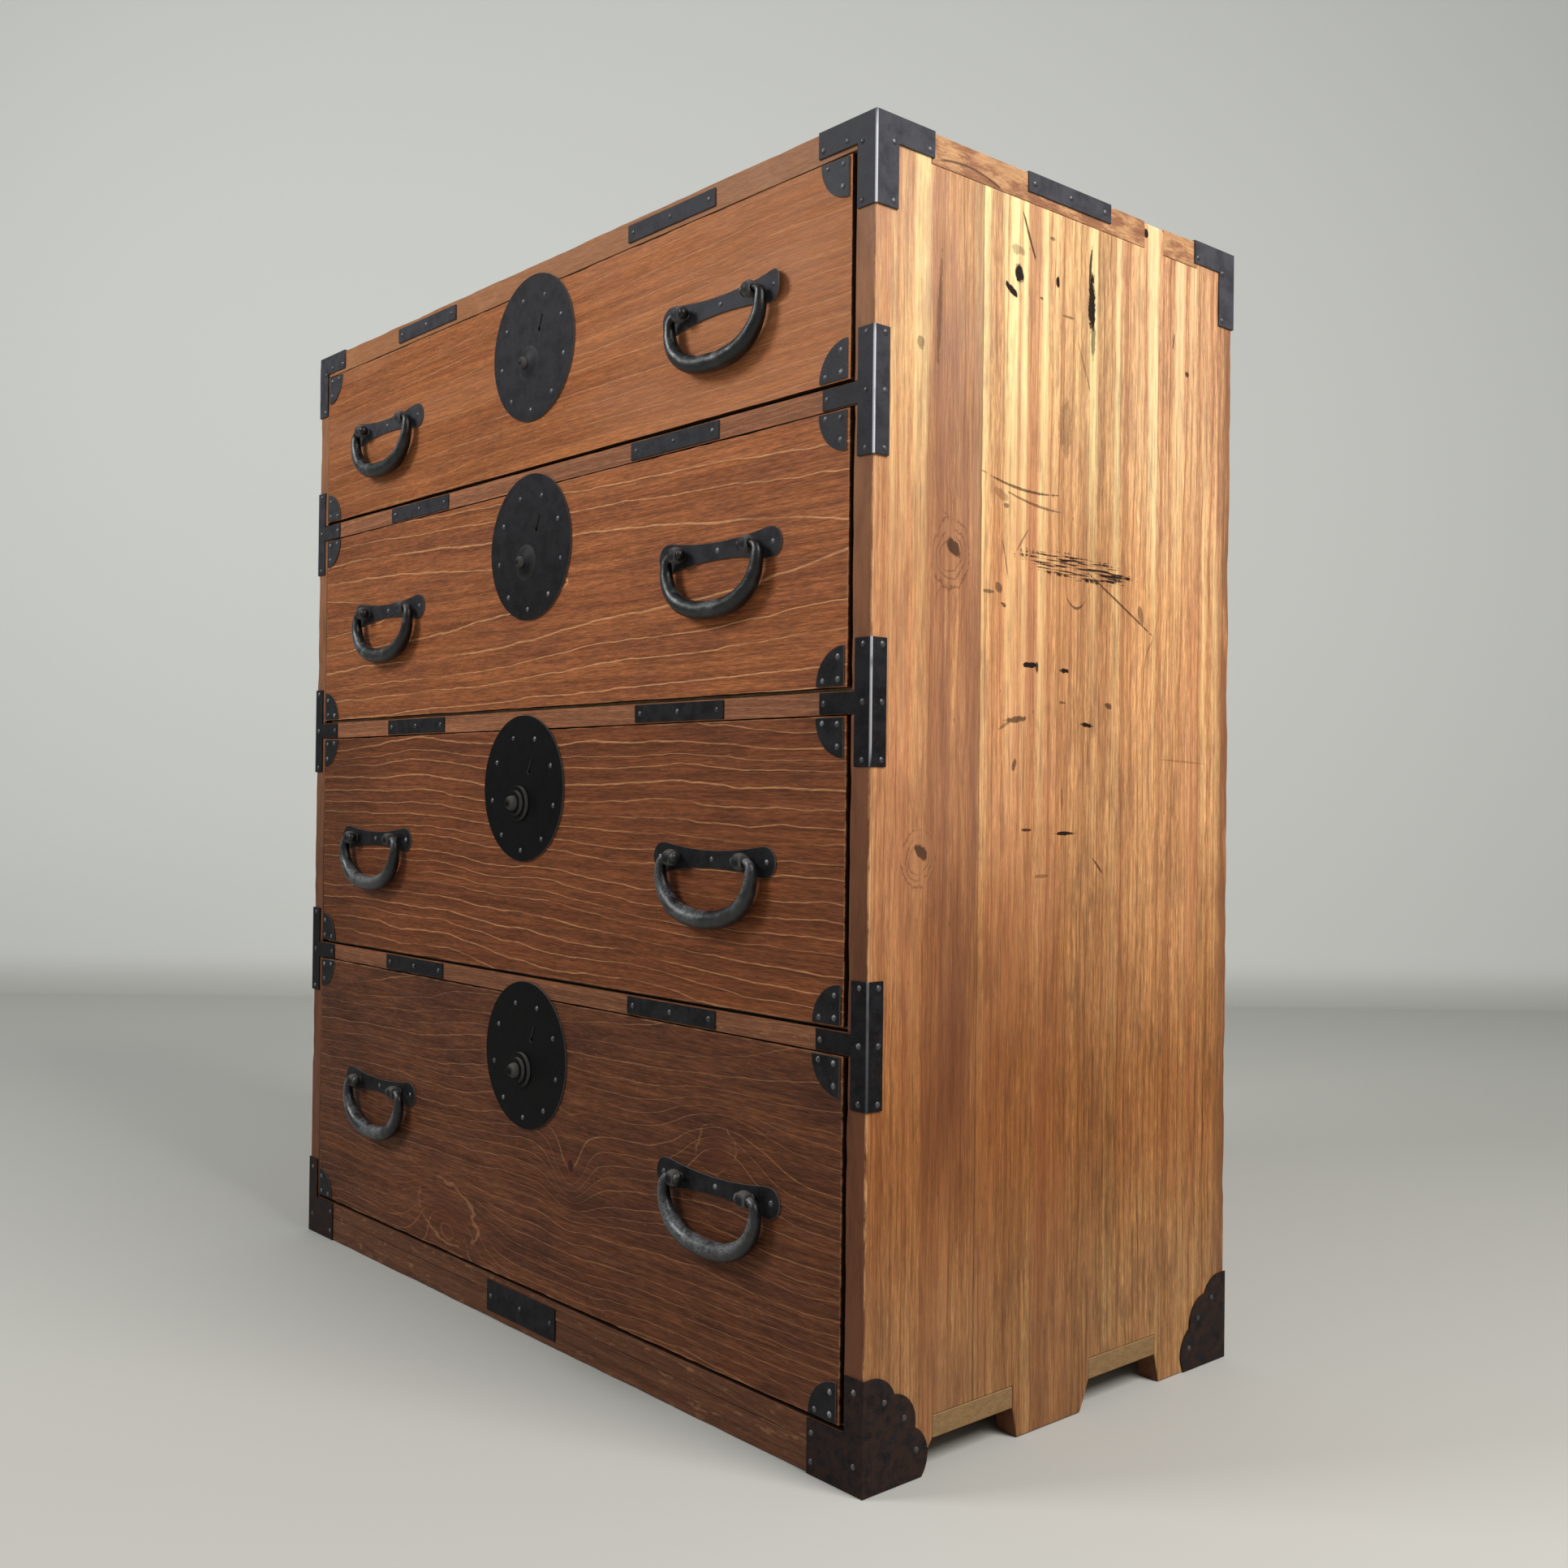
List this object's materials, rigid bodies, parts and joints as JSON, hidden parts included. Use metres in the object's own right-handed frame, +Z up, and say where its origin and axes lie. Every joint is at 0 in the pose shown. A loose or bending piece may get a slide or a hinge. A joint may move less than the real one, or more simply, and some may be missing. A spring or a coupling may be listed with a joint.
{
  "type": "clothing chest",
  "caption": "Low wooden clothing chest with full-width drawers, round iron lock plates, drop bail handles and nailed iron corners.",
  "frame": {"origin": "on the floor under the middle of the whole chest, fittings included", "axes": "+Z up; the front faces -Y; X along the front, +X to the right seen from the front"},
  "size_m": [0.9144, 0.4747, 1.0022],
  "materials": {
    "case_wood": "stained, worn satin",
    "front_wood": "reddish brown stain, worn satin",
    "inner_wood": "bare",
    "iron": "black oxide, satin",
    "nail_iron": "rubbed, semi-bright"
  },
  "bodies": {
    "case": {"side_panel_left": "case_wood", "side_panel_right": "case_wood", "top_board": "case_wood", "bottom_board": "front_wood", "base_rail": "front_wood", "divider_rails": "front_wood", "dust_shelves": "inner_wood", "back_boards": "inner_wood", "corner_irons": "iron", "tee_irons": "iron", "strap_plates": "iron", "case_nails": "nail_iron"},
    "drawer_1": {"drawer_1_front": "front_wood", "drawer_1_walls": "inner_wood", "drawer_1_bottom": "inner_wood", "drawer_1_corner_plates": "iron", "drawer_1_lock_plate": "iron", "drawer_1_lock_case": "iron", "drawer_1_handle_mounts": "iron", "drawer_1_nails": "nail_iron"},
    "drawer_1_bail_left": {"drawer_1_bail_left": "iron"},
    "drawer_1_bail_right": {"drawer_1_bail_right": "iron"},
    "drawer_1_lock_button": {"drawer_1_lock_button": "iron"},
    "drawer_1_lock_bolt": {"drawer_1_lock_bolt": "iron"},
    "drawer_2": {"drawer_2_front": "front_wood", "drawer_2_walls": "inner_wood", "drawer_2_bottom": "inner_wood", "drawer_2_corner_plates": "iron", "drawer_2_lock_plate": "iron", "drawer_2_lock_case": "iron", "drawer_2_handle_mounts": "iron", "drawer_2_nails": "nail_iron"},
    "drawer_2_bail_left": {"drawer_2_bail_left": "iron"},
    "drawer_2_bail_right": {"drawer_2_bail_right": "iron"},
    "drawer_2_lock_button": {"drawer_2_lock_button": "iron"},
    "drawer_2_lock_bolt": {"drawer_2_lock_bolt": "iron"},
    "drawer_3": {"drawer_3_front": "front_wood", "drawer_3_walls": "inner_wood", "drawer_3_bottom": "inner_wood", "drawer_3_corner_plates": "iron", "drawer_3_lock_plate": "iron", "drawer_3_lock_case": "iron", "drawer_3_handle_mounts": "iron", "drawer_3_nails": "nail_iron"},
    "drawer_3_bail_left": {"drawer_3_bail_left": "iron"},
    "drawer_3_bail_right": {"drawer_3_bail_right": "iron"},
    "drawer_3_lock_button": {"drawer_3_lock_button": "iron"},
    "drawer_3_lock_bolt": {"drawer_3_lock_bolt": "iron"},
    "drawer_4": {"drawer_4_front": "front_wood", "drawer_4_walls": "inner_wood", "drawer_4_bottom": "inner_wood", "drawer_4_corner_plates": "iron", "drawer_4_lock_plate": "iron", "drawer_4_lock_case": "iron", "drawer_4_handle_mounts": "iron", "drawer_4_nails": "nail_iron"},
    "drawer_4_bail_left": {"drawer_4_bail_left": "iron"},
    "drawer_4_bail_right": {"drawer_4_bail_right": "iron"},
    "drawer_4_lock_button": {"drawer_4_lock_button": "iron"},
    "drawer_4_lock_bolt": {"drawer_4_lock_bolt": "iron"}
  },
  "joints": [
    {"name": "drawer_1_slide", "type": "slide", "parent": "case", "child": "drawer_1", "axis": [0, -1, 0], "range_m": [0, 0.4]},
    {"name": "drawer_1_bail_left_swing", "type": "hinge", "parent": "drawer_1", "child": "drawer_1_bail_left", "pos_m": [-0.2885, -0.22945, 0.89715], "axis": [-1, 0, 0], "range_deg": [-1, 175]},
    {"name": "drawer_1_bail_right_swing", "type": "hinge", "parent": "drawer_1", "child": "drawer_1_bail_right", "pos_m": [0.28, -0.22945, 0.89855], "axis": [-1, 0, 0], "range_deg": [-1, 175]},
    {"name": "drawer_1_button_push", "type": "slide", "parent": "drawer_1", "child": "drawer_1_lock_button", "axis": [0, 1, 0], "range_m": [0, 0.006], "stiffness_N_per_m": 300, "springref_m": -0.002},
    {"name": "drawer_1_bolt_lift", "type": "slide", "parent": "drawer_1", "child": "drawer_1_lock_bolt", "axis": [0, 0, 1], "range_m": [0, 0.006]},
    {"name": "drawer_2_slide", "type": "slide", "parent": "case", "child": "drawer_2", "axis": [0, -1, 0], "range_m": [0, 0.4]},
    {"name": "drawer_2_bail_left_swing", "type": "hinge", "parent": "drawer_2", "child": "drawer_2_bail_left", "pos_m": [-0.2805, -0.22945, 0.69712], "axis": [-1, 0, 0], "range_deg": [-1, 175]},
    {"name": "drawer_2_bail_right_swing", "type": "hinge", "parent": "drawer_2", "child": "drawer_2_bail_right", "pos_m": [0.2795, -0.22945, 0.70012], "axis": [-1, 0, 0], "range_deg": [-1, 175]},
    {"name": "drawer_2_button_push", "type": "slide", "parent": "drawer_2", "child": "drawer_2_lock_button", "axis": [0, 1, 0], "range_m": [0, 0.006], "stiffness_N_per_m": 300, "springref_m": -0.002},
    {"name": "drawer_2_bolt_lift", "type": "slide", "parent": "drawer_2", "child": "drawer_2_lock_bolt", "axis": [0, 0, 1], "range_m": [0, 0.006]},
    {"name": "drawer_3_slide", "type": "slide", "parent": "case", "child": "drawer_3", "axis": [0, -1, 0], "range_m": [0, 0.4]},
    {"name": "drawer_3_bail_left_swing", "type": "hinge", "parent": "drawer_3", "child": "drawer_3_bail_left", "pos_m": [-0.3025, -0.22945, 0.45352], "axis": [-1, 0, 0], "range_deg": [-1, 175]},
    {"name": "drawer_3_bail_right_swing", "type": "hinge", "parent": "drawer_3", "child": "drawer_3_bail_right", "pos_m": [0.2765, -0.22945, 0.45222], "axis": [-1, 0, 0], "range_deg": [-1, 175]},
    {"name": "drawer_3_button_push", "type": "slide", "parent": "drawer_3", "child": "drawer_3_lock_button", "axis": [0, 1, 0], "range_m": [0, 0.006], "stiffness_N_per_m": 300, "springref_m": -0.002},
    {"name": "drawer_3_bolt_lift", "type": "slide", "parent": "drawer_3", "child": "drawer_3_lock_bolt", "axis": [0, 0, 1], "range_m": [0, 0.006]},
    {"name": "drawer_4_slide", "type": "slide", "parent": "case", "child": "drawer_4", "axis": [0, -1, 0], "range_m": [0, 0.4]},
    {"name": "drawer_4_bail_left_swing", "type": "hinge", "parent": "drawer_4", "child": "drawer_4_bail_left", "pos_m": [-0.286, -0.22945, 0.18965], "axis": [-1, 0, 0], "range_deg": [-1, 175]},
    {"name": "drawer_4_bail_right_swing", "type": "hinge", "parent": "drawer_4", "child": "drawer_4_bail_right", "pos_m": [0.286, -0.22945, 0.19165], "axis": [-1, 0, 0], "range_deg": [-1, 175]},
    {"name": "drawer_4_button_push", "type": "slide", "parent": "drawer_4", "child": "drawer_4_lock_button", "axis": [0, 1, 0], "range_m": [0, 0.006], "stiffness_N_per_m": 300, "springref_m": -0.002},
    {"name": "drawer_4_bolt_lift", "type": "slide", "parent": "drawer_4", "child": "drawer_4_lock_bolt", "axis": [0, 0, 1], "range_m": [0, 0.006]}
  ],
  "couplings": [
    {"joint": "drawer_1_bolt_lift", "follows": "drawer_1_button_push", "ratio": 1},
    {"joint": "drawer_2_bolt_lift", "follows": "drawer_2_button_push", "ratio": 1},
    {"joint": "drawer_3_bolt_lift", "follows": "drawer_3_button_push", "ratio": 1},
    {"joint": "drawer_4_bolt_lift", "follows": "drawer_4_button_push", "ratio": 1}
  ]
}
